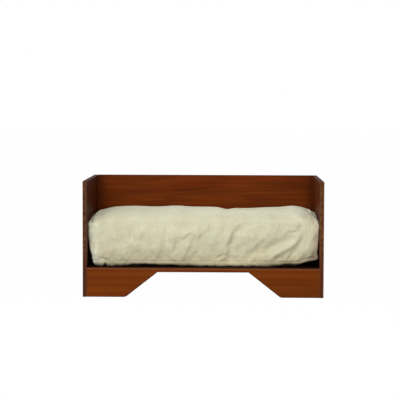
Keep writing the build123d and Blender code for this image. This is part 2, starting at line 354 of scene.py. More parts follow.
def stained_wood(
    node,
    along,
    across,
    seed,
    tone=(1, 1, 1),
    worn=0.4,
    inside=None,
    figure=None,
    pools=(),
    edge=(82, 50, 32),
    lip=None,
):
    """Stained and waxed boards glued edge to edge, with their grain along one axis.

    inside names the axis, the direction and the tone of an inner face that is darkened as painted shade,
    darker still near the deck.
    figure is the place along the top stave where the grain rises a little.
    pools are places, each an axis, a place and a reach, that are darkened: painted shade in the inner
    corners, and darker top edges.
    edge is the colour of the end grain.
    lip is the height of a top edge that is darkened as painted shade, with the rubbed line just below it,
    which also paints the highlight of its lit arris."""
    finish = Finish("stained_wood_" + node)
    places = finish.places()
    facing = finish.places("Normal")
    length, width = places[along] * per_metre, places[across] * per_metre
    thick = places[3 - along - across] * per_metre
    top = frame_top * per_metre
    stave_pitch = stave_width * per_metre

    # Each stave is cut from its own place beside the pith of its tree
    across_staves = (top - width) / stave_pitch + 0.004
    stave = across_staves.whole()
    first, second, third = finish.chance(stave + seed)
    drift = finish.noise(finish.vector(length / 700 + first * 40, stave * 3.1, seed), 1, 1) - 0.5
    pith_width = width + stave * stave_pitch - top + pith_below + (second - 0.5) * pith_spread
    pith_thick = thick + pith_behind + third * pith_spread
    pith_thick = pith_thick + length * (first - 0.5) * 0.025 + drift * 8
    shade = 0.0
    if figure is not None:
        rise_place, rise_reach, rise_height = figure * per_metre, 90, 26
        top_stave = finish.between(stave, 0.6, 0.4)
        fading = (1 - finish.between(length, -80, 140) * 0.7) * top_stave
        shade = (0.05 - across_staves.part() * 0.17) * fading
        rise = finish.between(length, rise_place - rise_reach, rise_place + rise_reach) * top_stave
        pith_width = pith_width - rise * rise_height
        width = width - rise * rise_height

    def pattern(name, detail=2, roughness=0.5, shift=0):
        long, wide, deep = wood_cells[name]
        place = finish.vector(length / long + shift, width / wide, thick / deep)
        return finish.noise(place, 1, detail, roughness)

    ripple = pattern("ripple") - 0.5
    radius = (pith_width * pith_width + pith_thick * pith_thick).root()
    rings = (radius / ring_gap + ripple * 1.6 + first * 7).part()
    late = finish.patch((rings, 0.3, 0.85), (rings, 1.0, 0.88))

    streak = pattern("streak", 3, 0.6, first * 9)
    band = pattern("band", shift=third * 9)
    hue = pattern("hue", shift=second * 9)
    pores = pattern("pores", 2, 0.7)
    cloud = pattern("cloud")
    speck = pattern("speck", 3, 0.7)
    pore = finish.between(pores, 0.56, 0.74)

    # The apron is of plainer wood, a little worn at its left foot
    evenness = 1.0 if lip is None else 0.62
    value = 0.5 + ((late - 0.4) * -0.13 + (streak - 0.5) * 0.62 + (band - 0.5) * 0.4) * evenness
    value = value + (second - 0.5) * 0.08 + (cloud - 0.5) * 0.10 + shade
    if lip is not None:
        value = value + finish.patch((places[Z], 0.06, 0.03), (places[X], -0.24, -0.33)) * 0.09
    dark = tinted(paint(61, 24, 5), *tone)
    middle = tinted(paint(107, 45, 9), *tone)
    light = tinted(paint(134, 63, 16), *tone)
    colour = finish.ramp(value, [(0.15, dark), (0.5, middle), (0.85, light)])
    redder, yellower = tinted(middle, 1.02, 0.72, 0.8), tinted(middle, 0.88, 1.16, 1.3)
    colour = finish.mix(finish.between(hue, 0.5, 0.75) * 0.55, colour, redder)
    colour = finish.mix(finish.between(hue, 0.5, 0.25) * 0.45, colour, yellower)
    colour = finish.mix(pore * 0.3, colour, dark)

    # End grain shows where a face is square to the grain
    at_end = finish.between(facing[along].size(), 0.6, 0.85)
    ends = end_grain(finish, speck, width, thick, places[Z], edge)
    colour = finish.mix(at_end, colour, ends)

    # Painted shade: an inner face is darkened by the tone given, and darker still near the deck
    if inside is not None:
        axis, direction, depth = inside
        low = finish.between(places[Z], 0.165, 0.115)
        deep = finish.mix(1.0, colour, [depth, depth, depth, 1], "MULTIPLY")
        deep = finish.mix(low * 0.7, deep, tinted(dark, 0.25, 0.25, 0.25))
        colour = finish.mix(finish.between(facing[axis] * direction, 0.5, 0.8), colour, deep)

    # Faces that look up are darker, and the pools paint shade in the corners and darken the top edges
    upward = finish.between(facing[Z], 0.6, 0.9)
    colour = finish.mix(upward * 0.8, colour, tinted(dark, 0.8, 0.9, 1.2))
    if pools:
        pool = sum(
            finish.between((places[axis] - place).size(), reach, 0.0)
            for axis, place, reach in pools
        )
        colour = finish.mix((pool * 0.6).clamped(), colour, tinted(middle, 0.35, 0.32, 0.35))

    # The glue lines between the boards, and the rubbed arrises
    beside = across_staves.part() - 0.5
    glue = finish.between(beside.size(), 0.475, 0.496) * (1 - at_end)
    colour = finish.mix(glue * 0.45, colour, dark)
    if lip is None:
        nearness = edge_nearness(places, node)
    else:
        colour = apron_shade_and_stain(finish, colour, places, lip)
        # On the apron the rubbed line lies below the painted shade of its top edge: wear, and also a painted
        # highlight of the lit arris
        nearness = (lip - places[Z] - 0.0056).size()
    rub = finish.between(nearness + (speck - 0.5) * 0.002, 0.0032, 0.0006) * worn
    rub = rub * (1 - upward * 0.8)
    colour = finish.mix(rub.clamped(), colour, paint(126, 92, 68))

    height = pores * -0.25 + streak * 0.3 + late * 0.25 - glue * 0.5
    rough = 0.44 + (cloud - 0.5) * 0.18 + pore * 0.12 + at_end * 0.16 + rub * 0.1 + upward * 0.2
    return finish.finish(
        Base_Color=colour,
        Roughness=rough,
        Normal=finish.bump(height, 0.25, 0.0006),
        Specular_IOR_Level=0.04,
        IOR=1.46,
    )


def bare_wood():
    """Plain beech for the dowels."""
    finish = Finish("bare_wood")
    grain = finish.speckle((160, 160, 900), 4, 0.6)
    fleck = finish.between(finish.speckle((900, 300, 900)), 0.55, 0.7)
    colour = finish.shades(grain, (0.3, 171, 131, 88), (0.7, 214, 180, 135))
    return finish.finish(
        Base_Color=finish.mix(fleck * 0.3, colour, paint(140, 98, 62)),
        Roughness=0.6 + grain * 0.15,
        Normal=finish.bump(grain, 0.2, 0.0003),
    )


def zinc():
    """Bright plated steel for the screws."""
    finish = Finish("zinc_screw")
    mottle = finish.speckle(700, 3, 0.6)
    return finish.finish(
        Base_Color=finish.shades(mottle, (0.3, 148, 148, 140), (0.7, 196, 197, 192)),
        Metallic=1.0,
        Roughness=0.28 + mottle * 0.2,
        Normal=finish.bump(finish.speckle((3000, 300, 3000)), 0.12, 0.0002),
    )


# Canvas

canvas_thread = 0.00085

# Patches of painted light and painted shade: the tint, its share, and the borders of the patch, each an axis,
# the place where the patch has faded out and the place where it is full
front = (Y, -0.155, -0.19)
painted_light_patches = (
    ((0.62, 0.60, 0.56), 0.9, (front, (X, -0.418, -0.431), (Z, 0.155, 0.175), (Z, 0.23, 0.21))),
    ((0.98, 0.93, 0.84), 0.8, ((X, -0.42, -0.34), (Z, 0.21, 0.11))),
    ((1.12, 1.12, 1.14), 1, (front, (X, -0.31, -0.40), (Z, 0.23, 0.15))),
    ((1.20, 1.20, 1.20), 1, (front, (X, -0.396, -0.412), (Z, 0.185, 0.165))),
    ((1.05, 1.05, 1.07), 1, ((X, 0.29, 0.34), (X, 0.41, 0.392), (Z, 0.15, 0.20))),
    ((0.94, 0.93, 0.92), 1, (front, (X, -0.3, -0.26), (X, -0.12, -0.16), (Z, 0.134, 0.146), (Z, 0.18, 0.16))),
    ((0.94, 0.93, 0.92), 1.2, (front, (X, 0.0, 0.03), (X, 0.09, 0.06), (Z, 0.134, 0.146), (Z, 0.18, 0.16))),
    ((1.04, 1.04, 1.04), 1, (front, (X, -0.275, -0.255), (X, 0.0, -0.03), (Z, 0.18, 0.20), (Z, 0.27, 0.25))),
    ((1.12, 1.12, 1.12), 1, (front, (X, -0.415, -0.428), (Z, 0.235, 0.25), (Z, 0.272, 0.262))),
    ((1.04, 1.04, 1.04), 1, (front, (X, 0.12, 0.14), (X, 0.225, 0.20), (Z, 0.185, 0.20), (Z, 0.255, 0.24))),
    ((1.08, 1.08, 1.08), 1, (front, (X, 0.13, 0.155), (X, 0.24, 0.215), (Z, 0.125, 0.132), (Z, 0.168, 0.15))),
    ((0.955, 0.955, 0.95), 1, (front, (X, 0.23, 0.29), (X, 0.39, 0.36), (Z, 0.2, 0.23), (Z, 0.278, 0.268))),
    ((1.03, 1.03, 1.03), 1, ((X, 0.030, 0.045), (X, 0.095, 0.080), (Z, 0.280, 0.290))),
    ((1.05, 1.05, 1.05), 1, ((X, 0.335, 0.350), (X, 0.395, 0.380), (Z, 0.280, 0.290))),
)


def painted_canvas_light(finish, colour, u, v):
    """The canvas with painted light on its ends and its top, painted shade in its end seams and under its
    front, and its patches of painted light and shade.
    """
    places = x, y, z = finish.places()
    # Painted light: the ends are made paler below the top seam, where the side walls would shade them
    pale = finish.mix(finish.between(x, -0.1, 0.1), paint(246, 244, 216), paint(242, 230, 202))
    reach = finish.between(x, 0.1, -0.1) * 0.012
    ends = finish.patch((x.size() + reach, 0.396, 0.424), (z, 0.284, 0.274))
    colour = finish.mix(ends * 0.9, colour, pale)
    # Painted light: the top is made lighter and cooler, as it is lit from above
    painted_top_light = finish.mix(finish.between(x, -0.24, 0.06), (1.0, 1.02, 1.04, 1), (1.09, 1.12, 1.16, 1))
    colour = finish.dyed(colour, finish.between(z, 0.285, 0.314), painted_top_light)

    # Painted shade darkens the seams that run back from the front corners
    on_top = finish.between(v, 0.5, 0.4)
    on_wall = finish.patch((v, 0.7, 0.75), (v, 0.97, 0.96))
    top_line = finish.between((u.size() - half_length).size(), 0.0065, 0.0012)
    wall_line = finish.between((v - flat_boxing - boxing_height).size(), 0.0030, 0.0004)
    behind = finish.patch((y, -0.200, -0.190), (y, 0.21, 0.19))
    painted_seam_shade = (top_line * on_top + wall_line * on_wall).clamped() * behind
    painted_seam_shade = painted_seam_shade * finish.between(x.size(), 0.395, 0.405) * (0.7 - finish.between(x, 0.0, 0.1) * 0.25)
    colour = finish.dyed(colour, painted_seam_shade, (0.42, 0.38, 0.36))
    # Painted shade: the top of the left front corner beside the wall is darkened
    corner = finish.patch((x, -0.404, -0.420), (z, 0.268, 0.276)) * behind * on_top
    colour = finish.dyed(colour, corner * 0.55, (0.34, 0.36, 0.36))

    # Painted light just by the low front seam, and painted shade where the canvas turns under beside the
    # middle
    fore = (y, *front[1:])
    aside = finish.between((x - 0.095).size(), 0.085, 0.155)
    above = finish.patch(fore, (x, -0.28, -0.13), (z, 0.121, 0.127), (z, 0.143, 0.135))
    colour = finish.dyed(colour, above * (1 - aside * 0.5), (1.24, 1.22, 1.16))
    turned = finish.patch(fore, (z, 0.1285, 0.1165)) * aside
    colour = finish.dyed(colour, turned * 0.85, (0.50, 0.47, 0.43))
    # Painted shade on the low right corner and on the roll left of it
    ear = finish.patch((x, 0.395, 0.415), (z, 0.18, 0.14))
    ear = ear + finish.patch((x, 0.25, 0.30), (z, 0.138, 0.130)) * 0.75
    colour = finish.dyed(colour, ear.clamped() * finish.between(*fore) * 0.8, (0.55, 0.48, 0.42))
    # Patches of painted light and painted shade on the front and the top
    for tint, share, borders in painted_light_patches:
        inside = finish.patch(*((places[axis], out, full) for axis, out, full in borders))
        colour = finish.dyed(colour, inside * share, tint)
    return colour


def canvas():
    """Heavy cream canvas: a plain weave on the panel's own flat pattern, with slubs and soft creases."""
    finish = Finish("canvas")
    flat = finish.node("ShaderNodeUVMap", {"uv_map": "panel"})
    u, v, _ = finish.node("ShaderNodeSeparateXYZ", {}, {0: flat}, ("X", "Y", "Z"))
    wander = finish.noise(finish.vector(u * 30, v * 30, 0.0), 1, 1) - 0.5
    warp = ((u / canvas_thread + wander) * pi).wave()
    weft = ((v / canvas_thread + wander) * pi).wave()
    over = finish.between(warp * weft, -0.35, 0.35)
    weave = over * warp.size() + (1 - over) * weft.size()
    slub_u = finish.noise(finish.vector(u * 12, v / canvas_thread * 0.5, 1.0), 1, 2, 0.6)
    slub_v = finish.noise(finish.vector(u / canvas_thread * 0.5, v * 12, 7.0), 1, 2, 0.6)
    slub = (slub_u + slub_v) * 0.5
    crumple = finish.speckle(42, 4, 0.55, 0.4)
    soil = finish.speckle(11, 3, 0.55)
    tint = finish.speckle(26, shift=(5, 0, 0))
    colour = finish.shades(
        0.5 + (soil - 0.5) * 0.8 + (crumple - 0.5) * 0.35,
        (0.2, 202, 196, 164),
        (0.5, 214, 210, 181),
        (0.8, 221, 218, 192),
    )
    colour = finish.mix(finish.between(tint, 0.5, 0.72) * 0.3, colour, paint(220, 208, 188))
    colour = finish.mix(finish.between(tint, 0.5, 0.28) * 0.25, colour, paint(203, 210, 182))
    colour = finish.mix((1 - weave).clamped() * 0.18, colour, paint(176, 166, 132))
    colour = finish.mix(finish.between(slub, 0.56, 0.7) * 0.2, colour, paint(226, 222, 200))

    cloth = finish.bump(weave * 0.7 + slub * 0.6, 0.35, 0.0005)
    z = finish.places()[Z]
    rumple = finish.speckle(17, 2, 0.5, 0.6, (0, 0, 3))
    pulled = finish.speckle((36, 20, 11), 2, 0.5, 0.4) * finish.between(z, 0.19, 0.24) * 2.2
    calm = 1 - finish.between(z, 0.265, 0.285) * 0.65
    return finish.finish(
        Base_Color=painted_canvas_light(finish, colour, u, v),
        Roughness=0.86 + (slub - 0.5) * 0.15,
        Normal=finish.bump((crumple + rumple * 2.2 + pulled) * calm, 0.6, 0.0058, cloth),
        Specular_IOR_Level=0.12,
        Sheen_Weight=0.12,
        Sheen_Roughness=0.5,
    )


# Thread, filling and zip


def thread_finish():
    """Twisted sewing thread, a shade lighter than the canvas."""
    finish = Finish("sewing_thread")
    x, y, z = finish.places()
    twist = (((x + y + z) * 5200).wave() + 1) * 0.5
    shade = twist * 0.7 + finish.speckle(30) * 0.3
    return finish.finish(
        Base_Color=finish.shades(shade, (0.1, 188, 181, 150), (0.9, 228, 225, 205)),
        Roughness=0.7,
        Normal=finish.bump(twist, 0.3, 0.0001),
    )


def fibre():
    """White polyester filling."""
    finish = Finish("fibre_fill")
    tuft = finish.speckle(90, 5, 0.7, 1.5)
    return finish.finish(
        Base_Color=finish.shades(tuft, (0.3, 208, 208, 204), (0.7, 238, 238, 236)),
        Roughness=0.95,
        Normal=finish.bump(tuft, 0.8, 0.004),
    )


def zip_tape():
    """Woven cotton tape with fine ribs along its length."""
    finish = Finish("zip_tape")
    x, _, z = finish.places()
    rib = ((z * 9000).wave() + 1) * 0.5
    cross = ((x * 6500).wave() + 1) * 0.5
    shade = rib * 0.4 + finish.speckle(60, 3) * 0.6
    return finish.finish(
        Base_Color=finish.shades(shade, (0.2, 176, 168, 138), (0.8, 211, 205, 178)),
        Roughness=0.85,
        Normal=finish.bump(rib * 0.7 + cross * 0.3, 0.5, 0.0002),
    )


def nylon():
    """Moulded nylon of the coil and its stops."""
    finish = Finish("zip_nylon")
    shade = finish.speckle(200)
    return finish.finish(
        Base_Color=finish.shades(shade, (0.3, 196, 189, 160), (0.7, 222, 217, 194)),
        Roughness=0.38 + shade * 0.15,
        Normal=finish.bump(shade, 0.1, 0.0002),
    )


def zip_metal():
    """Dull nickel of the slider and its pull, brighter on its rubbed high spots."""
    finish = Finish("zip_metal")
    cast = finish.speckle(900, 3, 0.6)
    worn = finish.speckle(140, 3, 0.6)
    return finish.finish(
        Base_Color=finish.shades(worn, (0.35, 132, 128, 120), (0.7, 190, 188, 182)),
        Metallic=1.0,
        Roughness=0.3 + cast * 0.25,
        Normal=finish.bump(cast, 0.15, 0.0002),
    )


# Floor, daylight and lamps

sky_strength = 0.70
floor_white_share = 0.985
floor_reach = 30.0
lamp_aim = Vector((0, 0, 0.25))


def white_to_the_eye(tree):
    """1 on a ray that the background should look white to, else 0."""
    seen, glossy, through = tree.node(
        "ShaderNodeLightPath",
        outputs=("Is Camera Ray", "Is Glossy Ray", "Is Transmission Ray"),
    )
    return seen.most(glossy).most(through)


def make_floor():
    """A pale floor that looks white and keeps the shadow of the bed."""
    mesh = bpy.data.meshes.new("floor")
    corners = [(-1, -1, 0), (1, -1, 0), (1, 1, 0), (-1, 1, 0)]
    mesh.from_pydata([Vector(corner) * floor_reach for corner in corners], [], [(0, 1, 2, 3)])
    floor_sheet = bpy.data.objects.new("floor", mesh)
    scene.collection.objects.link(floor_sheet)
    finish = Finish("floor_paint")
    haze = finish.noise(finish.vector(*finish.places()), 3, 2)
    pale = finish.shades(haze, (0.3, 222, 222, 221), (0.7, 226, 226, 225))
    matt = finish.node("ShaderNodeBsdfDiffuse", {}, {"Color": pale})
    bright = finish.node("ShaderNodeBsdfDiffuse", {}, {"Color": (1, 1, 1, 1)})
    glow = finish.node("ShaderNodeEmission", {}, {"Color": (1, 1, 1, 1), "Strength": 1.0})
    look = finish.node("ShaderNodeMixShader", {}, {0: floor_white_share, 1: bright, 2: glow})
    mixed = finish.node("ShaderNodeMixShader", {}, {0: white_to_the_eye(finish), 1: matt, 2: look})
    finish.node("ShaderNodeOutputMaterial", {}, {"Surface": mixed}, ())
    mesh.materials.append(finish.material)


def make_sky():
    """White to the eye, softer as a source of light."""
    world = bpy.data.worlds.new("daylight")
    scene.world = world
    world.use_nodes = True
    world.node_tree.nodes.clear()
    tree = Tree(world.node_tree)
    soft = tree.node("ShaderNodeBackground", {}, {"Color": (1, 1, 1, 1), "Strength": sky_strength})
    white = tree.node("ShaderNodeBackground", {}, {"Color": (1, 1, 1, 1), "Strength": 1.0})
    mixed = tree.node("ShaderNodeMixShader", {}, {0: white_to_the_eye(tree), 1: soft, 2: white})
    tree.node("ShaderNodeOutputWorld", {}, {"Surface": mixed}, ())


def make_lamp(name, place, width, power, colour=(1, 1, 1)):
    data = bpy.data.lights.new(name, "AREA")
    data.shape = "SQUARE"
    data.size = width
    data.energy = power
    data.color = colour
    lamp = bpy.data.objects.new(name, data)
    lamp.location = place
    lamp.rotation_euler = (lamp_aim - Vector(place)).to_track_quat("-Z", "Y").to_euler()
    scene.collection.objects.link(lamp)


scene.view_settings.view_transform = "Standard"
make_sky()
make_floor()
make_lamp("high_lamp", (-0.4, -2.8, 3.0), 1.6, 22)
make_lamp("front_lamp", (-0.6, -4.2, 1.9), 2.0, 33, (1, 0.97, 0.89))
make_lamp("left_lamp", (-2.2, -2.6, 2.0), 1.5, 16)


# Finishes of the pieces that come from the CAD model


def dress(node, material):
    """Gives a CAD piece its finish."""
    piece = nodes[node]
    if not piece.material_slots:
        piece.data.materials.append(material)
    for place in piece.material_slots:
        place.material = material


# Painted shade: inside darkens the inner faces of the side panels, the left one more as it faces away from
# the light, and the pools darken the inner corners
board_looks = {
    "back_panel": dict(
        along=X,
        across=Z,
        seed=3,
        worn=0.15,
        figure=-0.13,
        pools=((X, -inner_x, 0.05), (X, inner_x, 0.04), (Z, frame_top, 0.005)),
    ),
    "front_apron": dict(along=X, across=Z, seed=11, tone=(1.05, 1.18, 1.06), lip=apron_top),
    # The deck is toned near black as painted shade under the cushion
    "deck_panel": dict(along=X, across=Y, seed=23, tone=(0.2, 0.2, 0.2), worn=0.0),
    "left_side_panel": dict(
        along=Y,
        across=Z,
        seed=31,
        worn=0.35,
        inside=(X, 1, 0.33),
        pools=((Y, inner_y, 0.20), (Z, frame_top, 0.006)),
    ),
    "right_side_panel": dict(
        along=Y,
        across=Z,
        seed=41,
        worn=0.35,
        inside=(X, -1, 0.62),
        pools=((Y, inner_y, 0.04), (Z, frame_top, 0.004)),
        edge=(93, 54, 29),
    ),
}
for number, side in enumerate(("left", "right")):
    board_looks[side + "_deck_cleat"] = dict(along=Y, across=Z, seed=50 + number)
    for end in ("front", "rear"):
        board_looks[end + "_" + side + "_cleat"] = dict(along=X, across=Z, seed=60 + number)
for board, look in board_looks.items():
    dress(board, stained_wood(board, **look))
dowel_finish = bare_wood()
screw_finish = zinc()
for node in nodes:
    if node.endswith("_dowels"):
        dress(node, dowel_finish)
    elif node.endswith("_screws"):
        dress(node, screw_finish)
metal_finish = zip_metal()
nylon_finish = nylon()
canvas_finish = canvas()
thread = thread_finish()
dress("zipper_tape", zip_tape())
dress("zipper_coil", nylon_finish)
dress("zipper_stops", nylon_finish)
dress("zipper_slider", metal_finish)
dress("zipper_pull", metal_finish)
dress("cushion_cover", canvas_finish)
dress("cushion_filling", fibre())


# Cushion: three sewn panels, a top, a boxing round the sides and a bottom

end_swell = 0.001
side_swell = 0.003
corner_round = 0.005
left_facet = 0.057
right_facet = 0.045
low_facet_depth = 0.006
top_facet_depth = 0.003
left_crown_run = 0.130
right_crown_run = 0.085
side_crown_run = 0.175
low_end_inset = 0.0155
low_side_inset = 0.010
top_side_inset = 0.004
end_roll = 0.024
side_roll = 0.015
wall_puff = 0.004

# How far each end's boxing puffs over the top seam, and how far that seam lies in
left_puff = 0.0185
right_puff = 0.030
left_tuck = 0.011
right_tuck = 0.017
corner_drop = 0.005

# The front of the bottom rises towards the right end, and a small dart tucks it at the left
right_seam_rise = 0.019
right_bottom_rise = 0.0245
dart_x = -0.387
dart_width = 0.005
dart_height = 0.006

# Soft rises and dips along the crest: place, half width, height
crest_swells = (
    (-0.395, 0.022, -0.0025),
    (-0.275, 0.050, 0.0022),
    (-0.115, 0.045, 0.0040),
    (0.086, 0.024, -0.0065),
    (0.150, 0.080, -0.0055),
    (0.345, 0.034, 0.0050),
)

# Where the front of the bottom rises off the deck: place, half width, height
front_rises = (
    (-0.20, 0.12, 0.0056),
    (-0.245, 0.035, 0.0026),
    (0.330, 0.045, 0.0095),
)

# The flat seat of the zip in the rear boxing
zip_plane_y = 0.2150
zip_half_length = 0.352
zip_low_z = 0.1533
zip_high_z = 0.1893
zip_blend = 0.012


def bell(distance, width):
    return np.exp(-((distance / width) ** 2))


def smooth(value, low, high):
    share = np.clip((value - low) / (high - low), 0, 1)
    return share * share * (3 - 2 * share)


def quarter(share):
    """Height of a quarter ellipse that rises from its edge."""
    rest = 1 - np.clip(share, 0, 1)
    return np.sqrt(np.maximum(1 - rest * rest, 0))


def seam_gaps(a, b):
    """Distances of a point of the top or the bottom from the ends and from the sides."""
    return half_length * (1 - np.abs(a)), half_depth * (1 - np.abs(b))


def rounded_corner(a, b):
    """Moves the grid's square corners onto a round one."""
    span_a, span_b = corner_round / half_length, corner_round / half_depth
    p = (np.abs(a) - (1 - span_a)) / span_a
    q = (np.abs(b) - (1 - span_b)) / span_b
    inside = (p > 0) & (q > 0)
    p, q = np.where(inside, p, 0), np.where(inside, q, 0)
    new_a = 1 - span_a + span_a * p * np.sqrt(1 - q * q / 2)
    new_b = 1 - span_b + span_b * q * np.sqrt(1 - p * p / 2)
    return np.where(inside, np.sign(a) * new_a, a), np.where(inside, np.sign(b) * new_b, b)


def plan(a, b, end_inset, side_inset, swell, facet_depth):
    """Place from above of a point of the cushion, from -1 to 1 each way.

    Beside each corner the front turns back a little before it meets the end."""
    a, b = rounded_corner(a, b)
    facet = np.where(a < 0, left_facet, right_facet)
    beyond = (np.abs(a) - 1 + facet) / facet
    turned = facet_depth * (np.sqrt(beyond**2 + 0.02) + beyond) / 2
    x = a * (half_length - end_inset - swell * b**16)
    y = middle_y + b * (half_depth - side_inset - side_swell * a**4 - turned)
    return x, y


def shoulder(a, b):
    """How far each end's boxing puffs over its top seam, from 0 to 1."""
    return smooth(np.abs(a), 0.9, 1) * np.maximum(1 - b * b, 0) ** 0.8


def shoulder_tuck(a, b):
    """How far the top seam lies in from each end."""
    depth = np.where(a < 0, left_tuck, right_tuck)
    return depth * smooth(np.abs(a), 0.9, 1) * np.maximum(1 - b**4, 0)


def top_seam(a, b):
    corner = np.abs(a) ** 9 * np.abs(b) ** 5
    puffed = np.where(a < 0, left_puff, right_puff) * shoulder(a, b)
    return top_seam_z - corner_drop * corner + puffed


def bottom_seam(a, b):
    front = smooth(-b, 0.2, 1)
    return bottom_seam_z + (right_seam_rise * smooth(a, 0.83, 0.98) + dart(a)) * front


def dart(a):
    """The small dart where the left end of the bottom is tucked under."""
    return dart_height * bell(a * half_length - dart_x, dart_width)


def top_panel(a, b):
    """The crowned top: its height over every point of the grid."""
    x, y = plan(a, b, shoulder_tuck(a, b), top_side_inset, 0.0, top_facet_depth)
    end_gap, side_gap = seam_gaps(a, b)
    run = np.where(a < 0, left_crown_run, right_crown_run)
    over_end = quarter(end_gap / run)
    over_side = quarter(side_gap / side_crown_run)
    share = over_end * over_side
    least = np.maximum(np.minimum(over_end, over_side), 1e-4)
    share = 0.4 * share + 0.6 * least
    crest = crest_z + sum(h * bell(x - place, w) for place, w, h in crest_swells)
    seam = top_seam(a, b)
    return np.stack([x, y, seam + (crest - seam) * share], -1)


def bottom_panel(a, b):
    """The bottom, which rolls under from its seam and lies flat on the deck."""
    end_gap, side_gap = seam_gaps(a, b)
    share = np.minimum(quarter(end_gap / end_roll), quarter(side_gap / side_roll))
    ear = smooth(a, 0.9, 1) * smooth(-b, 0.6, 1)
    end_inset = low_end_inset * (1 - 0.95 * ear)
    x, y = plan(a, b, end_inset, low_side_inset, end_swell * (1 - ear), low_facet_depth)
    seam = bottom_seam(a, b)
    raised = sum(h * bell(x - place, w) for place, w, h in front_rises) + 1.3 * dart(a)
    raised = raised * smooth(-b, 0.75, 0.95)
    raised = raised + right_bottom_rise * smooth(a, 0.79, 1) * smooth(-b, 0.3, 1)
    floor_z = base_z + raised
    return np.stack([x, y, seam - (seam - floor_z) * share], -1)


def boxing(a, b, t):
    """The band round the sides, from the bottom seam at t 0 to the top seam at t 1."""
    end_inset = low_end_inset * (1 - t) ** np.where(a < 0, 3.0, 4.2)
    side_inset = low_side_inset * (1 - t) ** 1.7 + top_side_inset * t**3
    puff = wall_puff * np.sin(pi * t)
    low_ear = smooth(a, 0.9, 1) * smooth(-b, 0.6, 1) * (1 - t) ** 5
    over = np.clip((t - 0.86) / 0.14, 0, 1)
    tucked = shoulder_tuck(a, b) * (1 - np.sqrt(1 - 0.98 * over**2))
    end_inset = end_inset * (1 - 0.95 * low_ear) + tucked
    swell = end_swell * (1 - t) * (1 - low_ear)
    facet_depth = low_facet_depth + (top_facet_depth - low_facet_depth) * t**3
    x, y = plan(a, b, end_inset - 0.2 * puff, side_inset - puff, swell, facet_depth)
    low, high = bottom_seam(a, b), top_seam(a, b)
    z = low + (high - low) * t
    return np.stack([x, y, z], -1)


def zip_seat(points):
    """Presses the rear of the boxing back to the flat seat of the zip."""
    x, y, z = points[..., 0], points[..., 1], points[..., 2]
    inside = 1 - smooth(np.abs(x), zip_half_length - zip_blend, zip_half_length + zip_blend)
    middle_z = (zip_low_z + zip_high_z) / 2
    half = (zip_high_z - zip_low_z) / 2
    inside = inside * (1 - smooth(np.abs(z - middle_z), half - 0.004, half + 0.018))
    pressed = np.where(y > rear_y, y + (np.minimum(y, zip_plane_y) - y) * inside, y)
    return np.stack([x, pressed, z], -1)


class Panels:
    """The three sewn panels as grids that share their seam points."""

    def __init__(self, a_values, b_values, t_values):
        self.a, self.b, self.t = a_values, b_values, t_values
        grid_a, grid_b = np.meshgrid(a_values, b_values, indexing="ij")
        self.top = top_panel(grid_a, grid_b)
        self.bottom = bottom_panel(grid_a, grid_b)
        rows, columns = len(a_values), len(b_values)
        ring = [(i, 0) for i in range(rows - 1)]
        ring += [(rows - 1, j) for j in range(columns - 1)]
        ring += [(i, columns - 1) for i in range(rows - 1, 0, -1)]
        ring += [(0, j) for j in range(columns - 1, 0, -1)]
        self.ring = tuple(np.array(ring).T)
        ring_a, ring_b = a_values[self.ring[0]], b_values[self.ring[1]]
        level, around_a = np.meshgrid(t_values, ring_a, indexing="ij")
        around_b = np.meshgrid(t_values, ring_b, indexing="ij")[1]
        self.band = zip_seat(boxing(around_a, around_b, level))
        self.top[self.ring] = self.band[-1]
        self.bottom[self.ring] = self.band[0]
        # Distance round the sides, for reading one grid at another's places
        sides = [(ring_a + 1) / 2, 1 + (ring_b + 1) / 2, 2 + (1 - ring_a) / 2, 3 + (1 - ring_b) / 2]
        turns = np.cumsum([0, rows - 1, columns - 1, rows - 1, columns - 1])
        self.around = np.concatenate([sides[k][turns[k] : turns[k + 1]] for k in range(4)])

    def points(self):
        """Every point once: the top, the bottom, then the inner rows of the band."""
        inner = self.band[1:-1].reshape(-1, 3)
        return np.concatenate([self.top.reshape(-1, 3), self.bottom.reshape(-1, 3), inner])

    def take(self, points):
        """Reads the points back into the three grids."""
        size = self.top.shape[0] * self.top.shape[1]
        self.top = points[:size].reshape(self.top.shape).copy()
        self.bottom = points[size : 2 * size].reshape(self.bottom.shape).copy()
        band = self.band.copy()
        band[1:-1] = points[2 * size :].reshape(band[1:-1].shape)
        band[-1] = self.top[self.ring]
        band[0] = self.bottom[self.ring]
        self.band = band

    def faces(self):
        """Faces that point outwards, each with the flat place of its corners on its panel."""
        rows, columns = len(self.a), len(self.b)
        size = rows * columns
        number = np.arange(size).reshape(rows, columns)
        count = len(self.ring[0])
        levels = np.empty((len(self.t), count), int)
        levels[0] = number[self.ring] + size
        levels[-1] = number[self.ring]
        inner = (len(self.t) - 2) * count
        levels[1:-1] = (2 * size + np.arange(inner)).reshape(-1, count)
        top = cells(number)
        bottom = cells(number + size)[:, ::-1]
        closed = np.concatenate([levels, levels[:, :1]], 1)
        band = cells(closed)[:, ::-1]
        flat_x, flat_y = np.meshgrid(self.a * half_length, self.b * half_depth, indexing="ij")
        flat = np.stack([flat_x, flat_y], -1)
        under = flat + np.array([0, flat_bottom])
        length = 2 * (half_length + half_depth) * 2
        walk = np.append(self.around, 4.0) / 4 * length
        height = self.t * boxing_height
        wall_u, wall_v = np.meshgrid(height, walk, indexing="ij")
        wall = np.stack([wall_v, wall_u + flat_boxing], -1)
        places = [cells(flat), cells(under)[:, ::-1], cells(wall)[:, ::-1]]
        return np.concatenate([top, bottom, band]), np.concatenate(places)


def cells(grid):
    """The four corners of every cell of a grid, whether point numbers or flat places."""
    corners = [grid[:-1, :-1], grid[1:, :-1], grid[1:, 1:], grid[:-1, 1:]]
    return np.stack(corners, 2).reshape(-1, 4, *grid.shape[2:])


